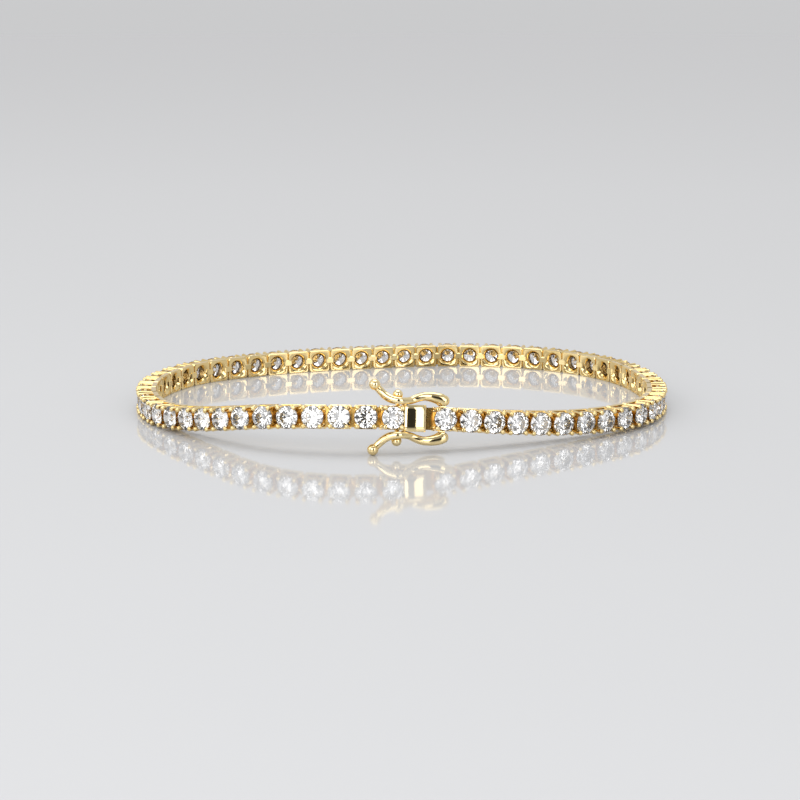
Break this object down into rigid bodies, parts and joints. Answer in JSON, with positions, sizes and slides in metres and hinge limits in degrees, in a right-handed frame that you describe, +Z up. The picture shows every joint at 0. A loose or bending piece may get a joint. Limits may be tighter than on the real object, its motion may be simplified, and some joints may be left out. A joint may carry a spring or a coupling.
{
  "type": "tennis bracelet",
  "caption": "Closed strip of claw-set round brilliants in yellow gold links, with a box clasp and two figure-eight safety catches, lying on a surface.",
  "frame": {"origin": "middle of the bottom of the bracelet's box, on the surface that it lies on", "axes": "+Z up from the surface; +X along the longest way across the loop, towards the viewer's right; the clasp is at the front, at -Y"},
  "size_m": [0.0638, 0.0534, 0.0083],
  "materials": {
    "polished_gold": "polished yellow gold",
    "gold_links_with_brilliants": "polished yellow gold set with clear brilliants"
  },
  "bodies": {
    "bracelet": {"clasp_box": "polished_gold", "clasp_tongue": "polished_gold", "strand_left": "gold_links_with_brilliants", "strand_right": "gold_links_with_brilliants"},
    "upper_catch": {"upper_catch": "polished_gold"},
    "lower_catch": {"lower_catch": "polished_gold"}
  },
  "joints": [
    {"name": "upper_catch_hinge", "type": "hinge", "parent": "bracelet", "child": "upper_catch", "pos_m": [0.00451, -0.02321, 0.00561], "axis": [-0.2186, 0.9535, -0.2073], "range_deg": [0, 110]},
    {"name": "lower_catch_hinge", "type": "hinge", "parent": "bracelet", "child": "lower_catch", "pos_m": [0.00438, -0.02412, 0.00157], "axis": [0.2186, -0.9535, 0.2073], "range_deg": [0, 110]}
  ]
}
